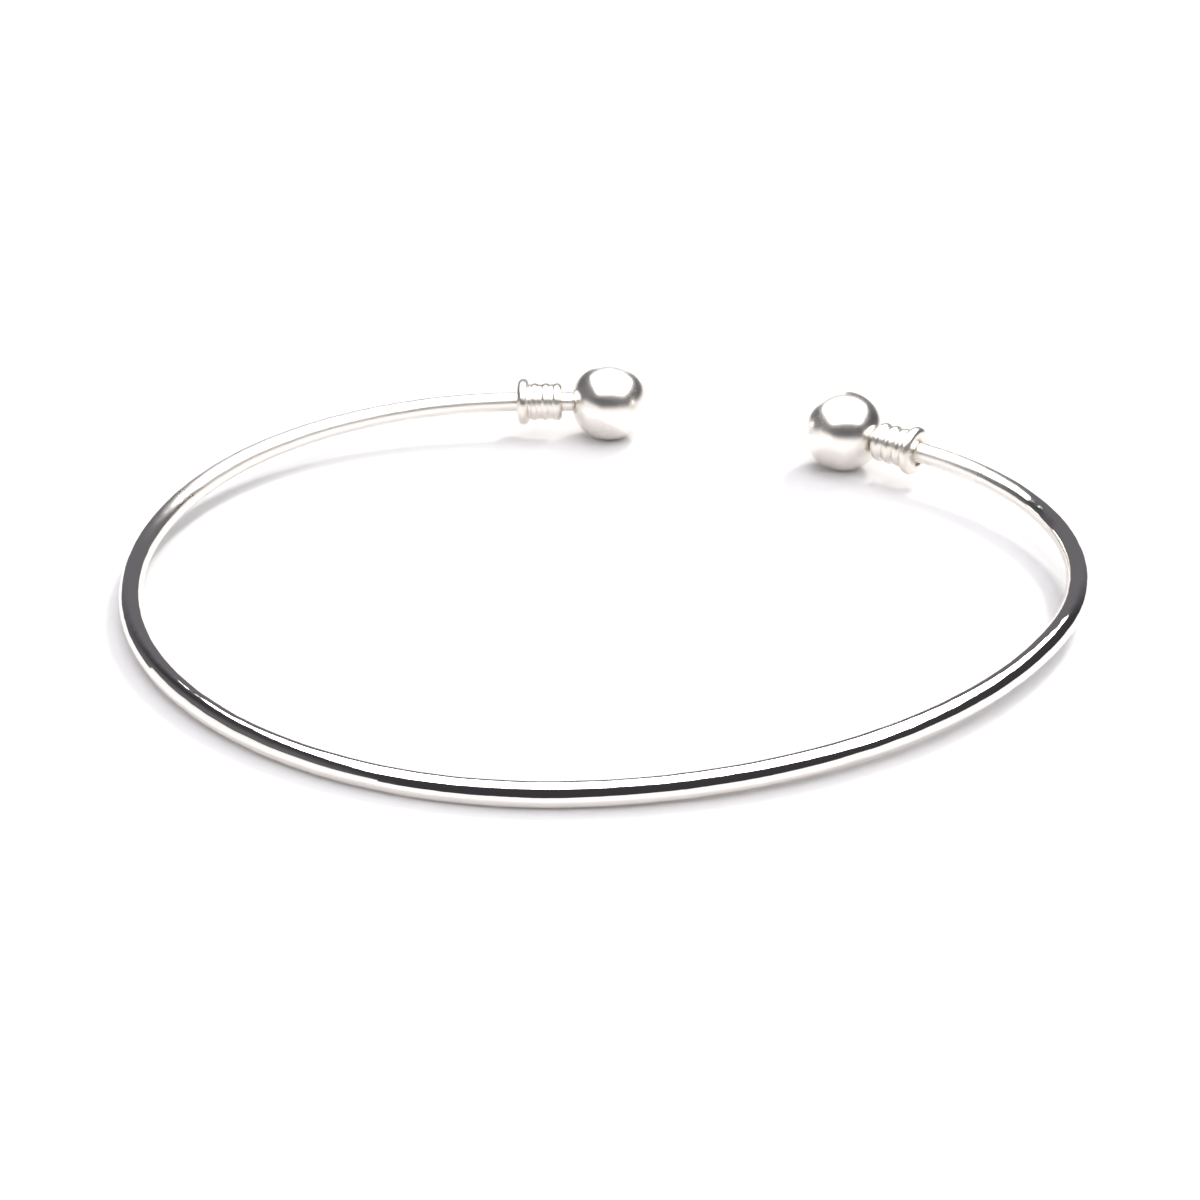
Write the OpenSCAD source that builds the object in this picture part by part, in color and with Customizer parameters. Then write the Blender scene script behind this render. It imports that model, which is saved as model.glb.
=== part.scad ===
/* [Wire] */
// Diameter of the round wire
wire_d = 1.5; // [1.3:0.1:1.8]
// Radius of the front arc, which both sides share
front_r = 28; // [27:0.5:29]
// Length of the straight stretch at each end of the wire
tail = 6.5; // [6.5:0.5:8]

/* [Right side] */
// Turn of the front arc on the right side, in degrees
right_front_turn = 23; // [21:1:25]
// Radius of the right side arc
right_side_r = 36; // [34:1:38]
// Turn of the right side arc, in degrees
right_side_turn = 57; // [55:1:59]
// Radius of the right end arc
right_end_r = 21.5; // [20:0.5:23]
// Turn of the right end arc, in degrees
right_end_turn = 81; // [79:1:82]
// Bare wire between the right ball and its collar
right_neck = 0.05; // [0.05:0.05:1]

/* [Left side] */
// Turn of the front arc on the left side, in degrees
left_front_turn = 13; // [11:1:15]
// Radius of the left side arc
left_side_r = 30; // [29:0.5:31]
// Turn of the left side arc, in degrees
left_side_turn = 82; // [80:1:83]
// Radius of the left end arc
left_end_r = 24; // [23:0.5:25]
// Turn of the left end arc, in degrees
left_end_turn = 67; // [65:1:69]
// Bare wire between the left ball and its collar
left_neck = 0.65; // [0.05:0.05:1]

/* [Balls] */
// Diameter of the ball on each end
ball_d = 6; // [5:0.25:7]
// How far the wire runs into a ball past its centre
seat = 0.9; // [0.5:0.1:1.5]

/* [Collars] */
// Length of a collar along the wire
collar_len = 3.5; // [3:0.1:4]
// Diameter of a collar between its ridges
collar_d = 2.7; // [2.5:0.1:3]
// Diameter over the raised rim, on the side away from the ball
rim_d = 3.6; // [3.4:0.1:4]
// Width of the raised rim, whose outer edge is a half round
rim_w = 0.9; // [0.7:0.1:1]
// Number of rounded ridges round a collar
ridges = 3; // [2:1:4]
// Height of a ridge over the collar
ridge_h = 0.1; // [0.05:0.01:0.2]
// Radius of the rounded edge beside the ball
edge_r = 0.35; // [0.2:0.05:0.5]

/* [Fit] */
// Space between the wire and each bore, all round
clearance = 0.05; // [0.04:0.01:0.08]

/* [Hidden] */
$fn = 96;

wire_r = wire_d / 2;
ball_r = ball_d / 2;
bore_r = wire_r + clearance;

// How much thinner the side arcs and tails are than the rest, and how far they lap into it
hair = 0.01;
lap = 0.3;

// Each side is a table of tangent arcs from the middle of the front to the tail
RADIUS = 0;
TURN = 1;
RIGHT = [
    [front_r, right_front_turn],
    [right_side_r, right_side_turn],
    [right_end_r, right_end_turn]
];
LEFT = [
    [front_r, left_front_turn],
    [left_side_r, left_side_turn],
    [left_end_r, left_end_turn]
];

// Direction of the wire where arc i begins, in degrees from straight sideways
function heading(side, i) = i == 0 ? 0 : heading(side, i - 1) + side[i - 1][TURN];

// A step of one millimetre along a heading
function along(angle) = [cos(angle), sin(angle)];

// Where arc i begins, on the wire's centre line
function joint(side, i) = i == 0
    ? [0, 0]
    : arc_centre(side, i - 1) + side[i - 1][RADIUS] * along(heading(side, i) - 90);

function arc_centre(side, i) = joint(side, i) + side[i][RADIUS] * along(heading(side, i) + 90);

// The direction and the start of the straight tail
function tail_heading(side) = heading(side, len(side));
function tail_start(side) = joint(side, len(side));

// How far a side reaches outwards: in the arc that passes the straight-back direction
function reach(side) = max([
    for (i = [0 : len(side) - 1])
        if (heading(side, i) <= 90 && heading(side, i + 1) >= 90)
            arc_centre(side, i).x + side[i][RADIUS]
]);

// The left tail is trimmed so that both balls lie equally far back and touch the floor together
ball_y = tail_start(RIGHT).y + tail * sin(tail_heading(RIGHT));
left_tail = (ball_y - tail_start(LEFT).y) / sin(tail_heading(LEFT));

// The balls are thicker than the wire, so the hoop lies tilted up towards the back
tilt = asin((ball_r - wire_r) / ball_y);
x_mid = (reach(RIGHT) - reach(LEFT)) / 2;
y_mid = (ball_y * cos(tilt) + ball_r - wire_r) / 2;

// Lays the flat hoop on the floor, centred over the origin
module laid_down() {
    translate([-x_mid, -y_mid, wire_r])
        rotate([tilt, 0, 0])
            children();
}

// Puts the floor's frame at a ball's centre, with +Z along the wire's end and out past the ball
module at_ball(side, length) {
    translate(tail_start(side) + length * along(tail_heading(side)))
        rotate([0, 90, tail_heading(side)])
            children();
}

// Every other stretch of the wire is a hair thinner and laps into its neighbours
module arc(side, i) {
    thin = i % 2 == 1;
    extra = thin ? lap / side[i][RADIUS] * 180 / PI : 0;
    translate(arc_centre(side, i))
        rotate(heading(side, i) - 90 - extra)
            rotate_extrude(angle = side[i][TURN] + 2 * extra)
                translate([side[i][RADIUS], 0])
                    circle(r = wire_r - (thin ? hair : 0));
}

// The side arc, the end arc and the tail of one side, as if it were the right one
module wire_side(side, length) {
    for (i = [1 : len(side) - 1])
        arc(side, i);
    at_ball(side, length)
        translate([0, 0, -length - lap])
            cylinder(r = wire_r - hair, h = length + lap + seat);
}

// The one arc across the front, from the left side to the right
module wire_front() {
    translate(arc_centre(RIGHT, 0))
        rotate(-90 - left_front_turn)
            rotate_extrude(angle = left_front_turn + right_front_turn)
                translate([front_r, 0])
                    circle(r = wire_r);
}

module hoop() {
    color("gainsboro")
        laid_down() {
            wire_front();
            wire_side(RIGHT, tail);
            mirror([1, 0, 0])
                wire_side(LEFT, left_tail);
        }
}

module ball() {
    color("silver")
        difference() {
            sphere(r = ball_r);
            translate([0, 0, -ball_r])
                cylinder(r = bore_r, h = ball_r + seat + clearance);
        }
}

// Half section of a collar: the rim at the bottom, the ball's side at the top, the bore cut out
module collar_section() {
    collar_r = collar_d / 2;
    rim_round = rim_w / 2;
    ridge_pitch = (collar_len - rim_w) / ridges;
    ridge_r = ridge_pitch / 2;
    difference() {
        union() {
            square([rim_d / 2 - rim_round, rim_w]);
            translate([rim_d / 2 - rim_round, rim_round])
                circle(r = rim_round);
            square([collar_r, collar_len - edge_r]);
            square([collar_r - edge_r, collar_len]);
            translate([collar_r - edge_r, collar_len - edge_r])
                circle(r = edge_r);
            for (i = [0 : ridges - 1])
                translate([collar_r + ridge_h - ridge_r, rim_w + (i + 0.5) * ridge_pitch])
                    circle(r = ridge_r);
        }
        translate([0, -1])
            square([bore_r, collar_len + 2]);
    }
}

// A collar that ends short of the ball by the bare wire between them
module collar(neck) {
    color("lightgray")
        translate([0, 0, -ball_r - neck - collar_len])
            rotate_extrude()
                collar_section();
}

module right_collar() {
    laid_down()
        at_ball(RIGHT, tail)
            collar(right_neck);
}

module left_collar() {
    laid_down()
        mirror([1, 0, 0])
            at_ball(LEFT, left_tail)
                collar(left_neck);
}

module right_ball() {
    laid_down()
        at_ball(RIGHT, tail)
            ball();
}

module left_ball() {
    laid_down()
        mirror([1, 0, 0])
            at_ball(LEFT, left_tail)
                ball();
}

hoop();
right_collar();
left_collar();
right_ball();
left_ball();
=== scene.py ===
import math

import bmesh
import bpy
from mathutils import Euler, Matrix, Vector, noise


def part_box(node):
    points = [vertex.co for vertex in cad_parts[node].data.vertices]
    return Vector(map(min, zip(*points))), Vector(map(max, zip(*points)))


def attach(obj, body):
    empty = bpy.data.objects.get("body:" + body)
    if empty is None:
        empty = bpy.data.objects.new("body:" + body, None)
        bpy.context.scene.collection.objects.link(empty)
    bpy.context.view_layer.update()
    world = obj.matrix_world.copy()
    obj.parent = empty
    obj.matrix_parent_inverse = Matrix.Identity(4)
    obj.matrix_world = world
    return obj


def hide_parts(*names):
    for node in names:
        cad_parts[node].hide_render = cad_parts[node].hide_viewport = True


MM = 0.001

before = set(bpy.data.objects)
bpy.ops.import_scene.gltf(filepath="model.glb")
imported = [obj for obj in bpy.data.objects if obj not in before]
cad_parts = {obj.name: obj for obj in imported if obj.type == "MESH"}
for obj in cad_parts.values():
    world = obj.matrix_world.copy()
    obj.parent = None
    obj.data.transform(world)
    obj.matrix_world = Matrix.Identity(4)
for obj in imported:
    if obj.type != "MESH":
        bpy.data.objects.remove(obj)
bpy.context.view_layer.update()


# Sizes of the bangle, in metres and degrees
WIRE_R = 0.75 * MM
TAIL = 6.5 * MM
SEAT = 0.9 * MM
CLEARANCE = 0.05 * MM
BORE_R = WIRE_R + CLEARANCE

# Arcs of each side from the middle of the front to the tail: radius, turn
RIGHT_ARCS = ((28 * MM, 23), (36 * MM, 57), (21.5 * MM, 81))
LEFT_ARCS = ((28 * MM, 13), (30 * MM, 82), (24 * MM, 67))

RIGHT_NECK = 0.05 * MM
LEFT_NECK = 0.65 * MM
COLLAR_LEN = 3.5 * MM
COLLAR_R = 1.35 * MM
RIM_R = 1.8 * MM
RIM_W = 0.9 * MM
RIDGES = 3
RIDGE_H = 0.1 * MM
EDGE_R = 0.35 * MM
BROKEN_EDGE = 0.06 * MM

# How finely the pieces are cut
RING_STEP = 0.12 * MM
WIRE_SIDES = 40
LATHE_SIDES = 128
BALL_STEPS = 110
COLLAR_STEPS = 220

# Points of a mesh that lie closer than this are one point
WELD = 0.0001 * MM

# Small unevenness that polishing leaves: height, and length of one ripple
WIRE_RIPPLES = ((0.016 * MM, 2.6 * MM), (0.013 * MM, 1.3 * MM), (0.004 * MM, 0.6 * MM))
BALL_RIPPLES = ((0.006 * MM, 3.1 * MM),)
COLLAR_RIPPLES = ((0.005 * MM, 1.3 * MM),)

# The wire's polish turns softer between these runs from the front, in mm, by this much roughness
LEFT_DULLING = (-36.0, -50.0)
RIGHT_DULLING = (64.0, 74.0)
DULLER = 0.3

# Colours of the silver: clean on the wire and the balls, tarnished, and clean on the collars
WARM = (0.87, 0.84, 0.80)
TARNISH = (0.84, 0.80, 0.75)
DEEP = (0.8, 0.76, 0.69)

# Patterns of the silver: size of its clouds, stretch of its hairlines, and their depth
CLOUD_SCALE = 260.0
HAIRLINE_STRETCH = (0.35, 60.0, 1.0)
HAIRLINE_DEPTH = 0.01 * MM

# Most of a noise pattern's values lie between these
NOISE_SPAN = (0.3, 0.7)

# The paper: its two whites, and the size of its fibres
PAPER_WHITE = (0.90, 0.90, 0.90)
PAPER_BRIGHT = (0.93, 0.93, 0.925)
FIBRE_SCALE = 900.0

# The camera: where it looks on the floor, how far off, how high, and turned how far to the right
AIM = Vector((1.0, -1.6, 0.0)) * MM
CAMERA_DISTANCE = 140.2 * MM
CAMERA_ELEVATION = 25.65
CAMERA_AZIMUTH = 19.8
CAMERA_LENS = 63.5
SENSOR = 36.0
NEAREST = 1 * MM
FARTHEST = 20.0

# The studio: half the floor's width, and the wall that stands on it, in metres
FLOOR_HALF = 3.0
WALL_R = 2.5
WALL_HEIGHT = 3.0
WALL_SIDES = 64

# Colours of the lamps, and of the dark room with its lighter left side and back
WARM_LIGHT = (1.0, 0.985, 0.94)
COOL_LIGHT = (0.985, 0.965, 1.0)
ROOM_DARK = (0.046, 0.045, 0.052)
ROOM_LEFT = (0.145, 0.147, 0.16)
ROOM_BACK = (0.16, 0.158, 0.177)

# Where the room turns lighter: how far a direction points right, and how far away
LEFT_FADE = (-0.6, -0.92)
BACK_FADE = (0.55, 0.85)


def centre_of(node):
    lo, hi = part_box(node)
    return (Vector(lo) + Vector(hi)) / 2


def ball_radius():
    lo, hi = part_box("right_ball")
    return (hi[2] - lo[2]) / 2


BALL_R = ball_radius()


# The wire's route


def along_side(arcs, run):
    """Place and heading in the hoop's own plane after a run along one side from the front."""
    x = y = heading = 0.0
    for radius, turn in arcs:
        bend = min(run / radius, math.radians(turn))
        x += radius * (math.sin(heading + bend) - math.sin(heading))
        y += radius * (math.cos(heading) - math.cos(heading + bend))
        heading += bend
        run -= radius * bend
        if run <= 0:
            break
    return x + run * math.cos(heading), y + run * math.sin(heading), heading


def arcs_length(arcs):
    return sum(radius * math.radians(turn) for radius, turn in arcs)


RIGHT_LENGTH = arcs_length(RIGHT_ARCS) + TAIL
BALL_X, BALL_Y, _ = along_side(RIGHT_ARCS, RIGHT_LENGTH)


def left_length():
    """The left tail is trimmed so that both balls lie equally far back."""
    bends = arcs_length(LEFT_ARCS)
    _, y, heading = along_side(LEFT_ARCS, bends)
    return bends + (BALL_Y - y) / math.sin(heading)


LEFT_LENGTH = left_length()
TILT = math.asin((BALL_R - WIRE_R) / BALL_Y)


def lay_down():
    """The matrix that lays the flat hoop on the floor, with its right ball on the frame's."""
    turn = Matrix.Rotation(TILT, 4, "X")
    shift = centre_of("right_ball") - turn @ Vector((BALL_X, BALL_Y, 0))
    return Matrix.Translation(shift) @ turn


LAID = lay_down()


def wire_frame(run):
    """Centre, outward direction and direction of travel at a run along the wire, left to right."""
    if run < 0:
        x, y, heading = along_side(LEFT_ARCS, -run)
        x, heading = -x, -heading
    else:
        x, y, heading = along_side(RIGHT_ARCS, run)
    centre = Vector((x, y, 0))
    outward = Vector((math.sin(heading), -math.cos(heading), 0))
    travel = Vector((math.cos(heading), math.sin(heading), 0))
    return centre, outward, travel


def end_matrix(run, side):
    """A frame at a ball's centre, with +Z along the wire and out past the ball."""
    centre, _, travel = wire_frame(run)
    up = travel * side
    across = Vector((0, 0, 1))
    other = up.cross(across)
    turn = Matrix((across, other, up)).transposed().to_4x4()
    return LAID @ Matrix.Translation(centre) @ turn


# Mesh building


def ripple(place, ripples):
    """Height of the uneven polish at a place on a surface."""
    return sum(height * noise.noise(place / length) for height, length in ripples)


def weld(mesh):
    """Joins points that lie together: a ball's poles, and a collar's last ring on its first."""
    work = bmesh.new()
    work.from_mesh(mesh)
    bmesh.ops.remove_doubles(work, verts=work.verts, dist=WELD)
    work.to_mesh(mesh)
    work.free()


def new_piece(name, points, faces, corner_uv, material, node):
    """A smooth mesh that stands for a CAD node, which it hides."""
    mesh = bpy.data.meshes.new(name)
    mesh.from_pydata(points, [], faces)
    mesh.polygons.foreach_set("use_smooth", [True] * len(faces))
    layer = mesh.uv_layers.new(name="UVMap")
    for loop, uv in zip(layer.data, corner_uv):
        loop.uv = uv
    mesh.materials.append(material)
    weld(mesh)
    piece = bpy.data.objects.new(name, mesh)
    bpy.context.scene.collection.objects.link(piece)
    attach(piece, "root")
    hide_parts(node)
    return piece


def band_faces(rings, sides):
    """Quads between successive rings, and each corner's (ring, side) place."""
    faces = []
    corners = []
    for i in range(rings - 1):
        for k in range(sides):
            n = (k + 1) % sides
            faces.append((i * sides + k, i * sides + n, (i + 1) * sides + n, (i + 1) * sides + k))
            corners += [(i, k), (i, k + 1), (i + 1, k + 1), (i + 1, k)]
    return faces, corners


def make_wire(material):
    start = -LEFT_LENGTH - SEAT
    total = LEFT_LENGTH + RIGHT_LENGTH + 2 * SEAT
    rings = round(total / RING_STEP) + 1
    points = []
    for i in range(rings):
        run = start + total * i / (rings - 1)
        centre, outward, _ = wire_frame(run)
        for k in range(WIRE_SIDES):
            angle = 2 * math.pi * k / WIRE_SIDES
            normal = outward * math.cos(angle) - Vector((0, 0, math.sin(angle)))
            spot = centre + normal * WIRE_R
            points.append(LAID @ (spot + normal * ripple(spot, WIRE_RIPPLES)))
    faces, corners = band_faces(rings, WIRE_SIDES)
    faces.append(tuple(reversed(range(WIRE_SIDES))))
    faces.append(tuple(range((rings - 1) * WIRE_SIDES, rings * WIRE_SIDES)))
    uv = [(i * total / (rings - 1) / MM, k / WIRE_SIDES) for i, k in corners]
    uv += [(0, 0)] * (2 * WIRE_SIDES)
    return new_piece("hoop_wire", points, faces, uv, material, "hoop")


def lathe(name, profile, place, ripples, material, node):
    """Turns a profile of (radius, height) points round the wire's end; a pole has no ripple."""
    points = []
    for radius, height in profile:
        for k in range(LATHE_SIDES):
            angle = 2 * math.pi * k / LATHE_SIDES
            spot = place @ Vector((radius * math.cos(angle), radius * math.sin(angle), height))
            away = (place.to_3x3() @ Vector((math.cos(angle), math.sin(angle), 0))).normalized()
            rise = ripple(spot, ripples) if radius > 0 else 0.0
            points.append(spot + away * rise)
    faces, corners = band_faces(len(profile), LATHE_SIDES)
    uv = [(k / LATHE_SIDES, profile[i][1] / MM) for i, k in corners]
    return new_piece(name, points, faces, uv, material, node)


def ball_profile():
    """The wall of the blind bore, its broken edge, and the ball up to the far pole."""
    mouth = math.asin((BORE_R + BROKEN_EDGE) / BALL_R)
    deep = SEAT + CLEARANCE
    profile = [(0.0, deep), (BORE_R, deep), (BORE_R, 0.0)]
    profile.append((BORE_R, -BALL_R * math.cos(mouth) + BROKEN_EDGE))
    for i in range(BALL_STEPS - 1):
        angle = math.pi - mouth - (math.pi - mouth) * i / (BALL_STEPS - 1)
        profile.append((BALL_R * math.sin(angle), BALL_R * math.cos(angle)))
    profile.append((0.0, BALL_R))
    return profile


def bulge(height, middle, radius):
    """How far a round edge stands out at a height, or none where it doesn't reach."""
    return math.sqrt(max(radius**2 - (height - middle) ** 2, 0))


def collar_radius(height):
    """The collar's outer radius at a height above its rim end."""
    round_r = RIM_W / 2
    pitch = (COLLAR_LEN - RIM_W) / RIDGES
    ridge_r = pitch / 2
    reach = COLLAR_R
    if height > COLLAR_LEN - EDGE_R:
        reach = COLLAR_R - EDGE_R + bulge(height, COLLAR_LEN - EDGE_R, EDGE_R)
    if height < RIM_W:
        reach = RIM_R - round_r + bulge(height, round_r, round_r)
    for i in range(RIDGES):
        middle = RIM_W + (i + 0.5) * pitch
        if abs(height - middle) < ridge_r:
            reach = max(reach, COLLAR_R + RIDGE_H - ridge_r + bulge(height, middle, ridge_r))
    return reach


def collar_profile(neck):
    """The bore, then the outside from the rim to the ball's side, with the edges cut finest."""
    low = -BALL_R - neck - COLLAR_LEN
    profile = [(BORE_R, low + COLLAR_LEN), (BORE_R, low)]
    for i in range(COLLAR_STEPS):
        share = i / (COLLAR_STEPS - 1)
        height = COLLAR_LEN * (0.5 - 0.5 * math.cos(math.pi * share))
        profile.append((collar_radius(height), low + height))
    profile.append((BORE_R, low + COLLAR_LEN))
    return profile


# Materials


def node_tree(name):
    material = bpy.data.materials.new(name)
    material.use_nodes = True
    nodes = material.node_tree.nodes
    return material, nodes, material.node_tree.links, nodes["Principled BSDF"]


def map_range(nodes, links, source, start, end, low, high):
    """Turns start to end of a value into low to high, and stops there."""
    node = nodes.new("ShaderNodeMapRange")
    node.inputs["From Min"].default_value = start
    node.inputs["From Max"].default_value = end
    node.inputs["To Min"].default_value = low
    node.inputs["To Max"].default_value = high
    links.new(source, node.inputs["Value"])
    return node.outputs["Result"]


def noise_pattern(nodes, links, source, scale, detail):
    node = nodes.new("ShaderNodeTexNoise")
    node.inputs["Scale"].default_value = scale
    node.inputs["Detail"].default_value = detail
    links.new(source, node.inputs["Vector"])
    return node.outputs["Fac"]


def mix_colours(nodes, links, share, low, high):
    """Goes from the low colour to the high one; each is a colour or another node's output."""
    node = nodes.new("ShaderNodeMix")
    node.data_type = "RGBA"
    for name, value in (("A", low), ("B", high)):
        if isinstance(value, tuple):
            node.inputs[name].default_value = (*value, 1.0)
        else:
            links.new(value, node.inputs[name])
    links.new(share, node.inputs["Factor"])
    return node.outputs["Result"]


def softer_ends(nodes, links, uv, polish):
    """The wire is rubbed bright at the front, where it is worn, and less towards its ends."""
    split = nodes.new("ShaderNodeSeparateXYZ")
    links.new(uv, split.inputs["Vector"])
    front = (LEFT_LENGTH + SEAT) / MM
    for near, far in (LEFT_DULLING, RIGHT_DULLING):
        extra = map_range(nodes, links, split.outputs["X"], front + near, front + far, 0.0, DULLER)
        both = nodes.new("ShaderNodeMath")
        both.operation = "ADD"
        links.new(polish, both.inputs[0])
        links.new(extra, both.inputs[1])
        polish = both.outputs["Value"]
    return polish


def silver(name, light, dark, smooth, rough, scratch, worn=False):
    """Polished silver: faint cloudy tarnish, uneven polish, and hairlines along the piece."""
    material, nodes, links, shader = node_tree(name)
    shader.inputs["Metallic"].default_value = 1.0

    place = nodes.new("ShaderNodeTexCoord")
    clouds = noise_pattern(nodes, links, place.outputs["Object"], CLOUD_SCALE, 4.0)
    tint = mix_colours(nodes, links, clouds, light, dark)
    links.new(tint, shader.inputs["Base Color"])

    polish = map_range(nodes, links, clouds, *NOISE_SPAN, smooth, rough)
    if worn:
        polish = softer_ends(nodes, links, place.outputs["UV"], polish)
    links.new(polish, shader.inputs["Roughness"])

    stretch = nodes.new("ShaderNodeMapping")
    stretch.inputs["Scale"].default_value = HAIRLINE_STRETCH
    links.new(place.outputs["UV"], stretch.inputs["Vector"])
    hairlines = noise_pattern(nodes, links, stretch.outputs["Vector"], 1.0, 5.0)
    bump = nodes.new("ShaderNodeBump")
    bump.inputs["Strength"].default_value = scratch
    bump.inputs["Distance"].default_value = HAIRLINE_DEPTH
    links.new(hairlines, bump.inputs["Height"])
    links.new(bump.outputs["Normal"], shader.inputs["Normal"])
    return material


def paper():
    """Matt white paper with faint fibres."""
    material, nodes, links, shader = node_tree("white_paper")
    shader.inputs["Roughness"].default_value = 0.9
    shader.inputs["Specular IOR Level"].default_value = 0.0
    place = nodes.new("ShaderNodeTexCoord")
    fibres = noise_pattern(nodes, links, place.outputs["Object"], FIBRE_SCALE, 3.0)
    tint = mix_colours(nodes, links, fibres, PAPER_WHITE, PAPER_BRIGHT)
    links.new(tint, shader.inputs["Base Color"])
    return material


def glowing_white():
    """An even white that needs no light on it."""
    material, _, _, shader = node_tree("white_wall")
    shader.inputs["Base Color"].default_value = (0.0, 0.0, 0.0, 1.0)
    shader.inputs["Specular IOR Level"].default_value = 0.0
    shader.inputs["Emission Color"].default_value = (1.0, 1.0, 1.0, 1.0)
    shader.inputs["Emission Strength"].default_value = 1.0
    return material


# Studio


def from_camera(right, away, up):
    """A place given from the aim point: to the camera's right, away from it, and up."""
    turn = Matrix.Rotation(math.radians(CAMERA_AZIMUTH), 3, "Z")
    return AIM + turn @ (Vector((right, away, up)) * MM)


def stage_piece(name, points, faces, material):
    """A mesh of the studio, which isn't part of the bangle."""
    mesh = bpy.data.meshes.new(name)
    mesh.from_pydata(points, [], faces)
    mesh.materials.append(material)
    piece = bpy.data.objects.new(name, mesh)
    bpy.context.scene.collection.objects.link(piece)
    return piece


def make_floor():
    half = FLOOR_HALF
    corners = [(-half, -half, 0), (half, -half, 0), (half, half, 0), (-half, half, 0)]
    stage_piece("floor", corners, [(0, 1, 2, 3)], paper())


def make_wall():
    """A white wall round the floor for low views; it neither lights nor shows in the silver."""
    points = []
    for height in (0.0, WALL_HEIGHT):
        for k in range(WALL_SIDES):
            angle = 2 * math.pi * k / WALL_SIDES
            points.append((WALL_R * math.cos(angle), WALL_R * math.sin(angle), height))
    faces, _ = band_faces(2, WALL_SIDES)
    wall = stage_piece("wall", points, faces, glowing_white())
    wall.visible_diffuse = False
    wall.visible_glossy = False
    wall.visible_shadow = False


def make_panel(name, width, depth, place, tip, radiance, only=()):
    """
    An even soft box for the silver to mirror. If only is given, it shines on those pieces alone.

    Its size and place are in mm, and tip is its turn across and along the view, in degrees.
    """
    data = bpy.data.lights.new(name, "AREA")
    data.shape = "RECTANGLE"
    data.size = width * MM
    data.size_y = depth * MM
    data.energy = radiance * math.pi * data.size * data.size_y
    panel = bpy.data.objects.new(name, data)
    panel.location = from_camera(*place)
    across, along = tip
    panel.rotation_euler = Euler(map(math.radians, (across, along, CAMERA_AZIMUTH)))
    panel.visible_camera = False
    panel.visible_diffuse = False
    bpy.context.scene.collection.objects.link(panel)
    if only:
        mirrors = bpy.data.collections.new(name + "_mirrors")
        for piece in only:
            mirrors.objects.link(piece)
        panel.light_linking.receiver_collection = mirrors


def make_sun(name, shadow_shift, energy, softness, colour):
    """
    A far lamp that lights the paper and doesn't show in the silver.

    A shadow moves by shadow_shift as it falls, and softness is the lamp's width in degrees.
    """
    data = bpy.data.lights.new(name, "SUN")
    data.energy = energy
    data.color = colour
    data.angle = math.radians(softness)
    lamp = bpy.data.objects.new(name, data)
    lamp.rotation_euler = Vector(shadow_shift).to_track_quat("-Z", "Y").to_euler()
    lamp.visible_glossy = False
    bpy.context.scene.collection.objects.link(lamp)


def make_lights(balls):
    """A bright roof and two low cards for the silver to mirror, and suns for the paper."""
    make_panel("roof", width=174, depth=146, place=(21, 23, 85), tip=(0, 0), radiance=6.0)
    make_panel("left_card", width=16, depth=116, place=(-85, -42, 8), tip=(0, -90), radiance=0.95)
    make_panel(
        "back_card", width=40, depth=35, place=(5, 75, 17.5), tip=(-90, 0), radiance=1.35, only=balls
    )
    make_sun("sky", (-0.25, -0.2, -1.0), energy=2.25, softness=80, colour=COOL_LIGHT)
    make_sun("key", (-0.28, -0.89, -1.0), energy=1.45, softness=12, colour=WARM_LIGHT)
    make_sun("fill", (-0.3, 1.0, -1.0), energy=1.55, softness=60, colour=COOL_LIGHT)


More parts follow.
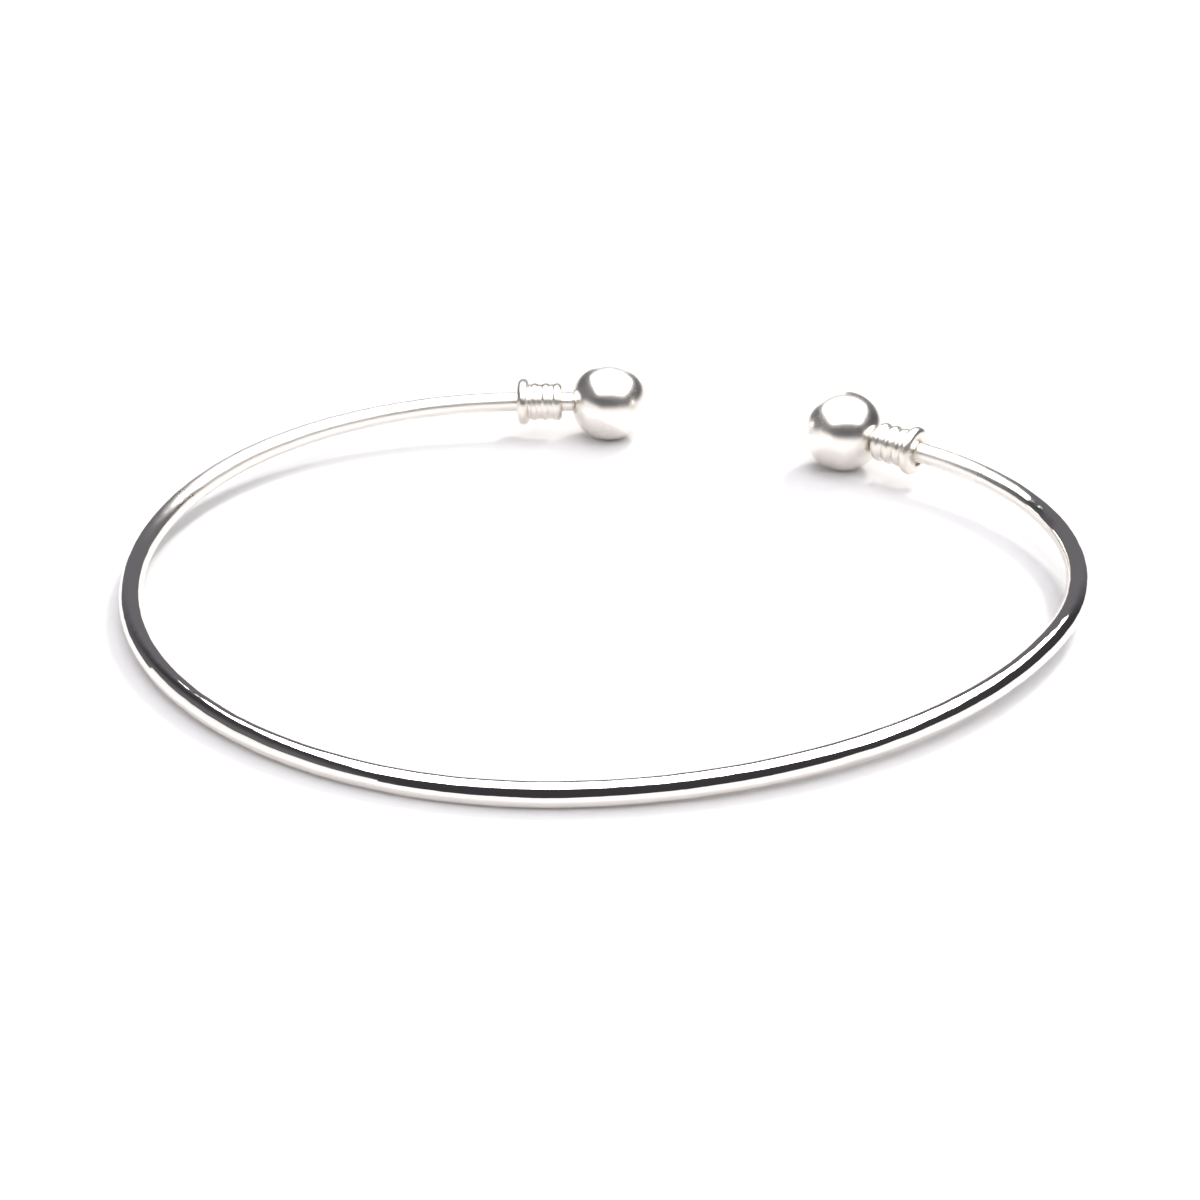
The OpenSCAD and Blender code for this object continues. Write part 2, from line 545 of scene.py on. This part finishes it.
def make_world():
    """A dark room, lighter on the left and behind."""
    world = bpy.data.worlds.new("room")
    bpy.context.scene.world = world
    world.use_nodes = True
    nodes = world.node_tree.nodes
    links = world.node_tree.links
    shade = nodes["Background"]
    place = nodes.new("ShaderNodeTexCoord")
    turn = nodes.new("ShaderNodeVectorRotate")
    turn.rotation_type = "Z_AXIS"
    turn.inputs["Angle"].default_value = -math.radians(CAMERA_AZIMUTH)
    links.new(place.outputs["Generated"], turn.inputs["Vector"])
    split = nodes.new("ShaderNodeSeparateXYZ")
    links.new(turn.outputs["Vector"], split.inputs["Vector"])
    right, away = split.outputs["X"], split.outputs["Y"]

    def ramp(source, low, high):
        """Rises smoothly from none at low to all at high."""
        node = nodes.new("ShaderNodeMapRange")
        node.interpolation_type = "SMOOTHSTEP"
        node.inputs["From Min"].default_value = low
        node.inputs["From Max"].default_value = high
        links.new(source, node.inputs["Value"])
        return node.outputs["Result"]

    level = mix_colours(nodes, links, ramp(right, *LEFT_FADE), ROOM_DARK, ROOM_LEFT)
    level = mix_colours(nodes, links, ramp(away, *BACK_FADE), level, ROOM_BACK)
    links.new(level, shade.inputs["Color"])


def make_camera():
    data = bpy.data.cameras.new("camera")
    data.lens = CAMERA_LENS
    data.sensor_width = SENSOR
    camera = bpy.data.objects.new("camera", data)
    rise = math.radians(CAMERA_ELEVATION)
    back = -CAMERA_DISTANCE * math.cos(rise) / MM
    camera.location = from_camera(0, back, CAMERA_DISTANCE * math.sin(rise) / MM)
    camera.rotation_euler = (AIM - camera.location).to_track_quat("-Z", "Y").to_euler()
    data.clip_start = NEAREST
    data.clip_end = FARTHEST
    bpy.context.scene.collection.objects.link(camera)
    bpy.context.scene.camera = camera


# Everything together

wire_silver = silver("wire", WARM, TARNISH, smooth=0.04, rough=0.08, scratch=0.05, worn=True)
ball_silver = silver("ball", WARM, TARNISH, smooth=0.24, rough=0.28, scratch=0.03)
collar_silver = silver("collar", DEEP, TARNISH, smooth=0.28, rough=0.36, scratch=0.08)

make_wire(wire_silver)
right_end = end_matrix(RIGHT_LENGTH, 1)
left_end = end_matrix(-LEFT_LENGTH, -1)
round_ball = ball_profile()
ball_right = lathe("ball_right", round_ball, right_end, BALL_RIPPLES, ball_silver, "right_ball")
ball_left = lathe("ball_left", round_ball, left_end, BALL_RIPPLES, ball_silver, "left_ball")
right_profile = collar_profile(RIGHT_NECK)
left_profile = collar_profile(LEFT_NECK)
lathe("collar_right", right_profile, right_end, COLLAR_RIPPLES, collar_silver, "right_collar")
lathe("collar_left", left_profile, left_end, COLLAR_RIPPLES, collar_silver, "left_collar")

make_floor()
make_wall()
make_lights((ball_right, ball_left))
make_world()
make_camera()
bpy.context.scene.view_settings.view_transform = "Standard"
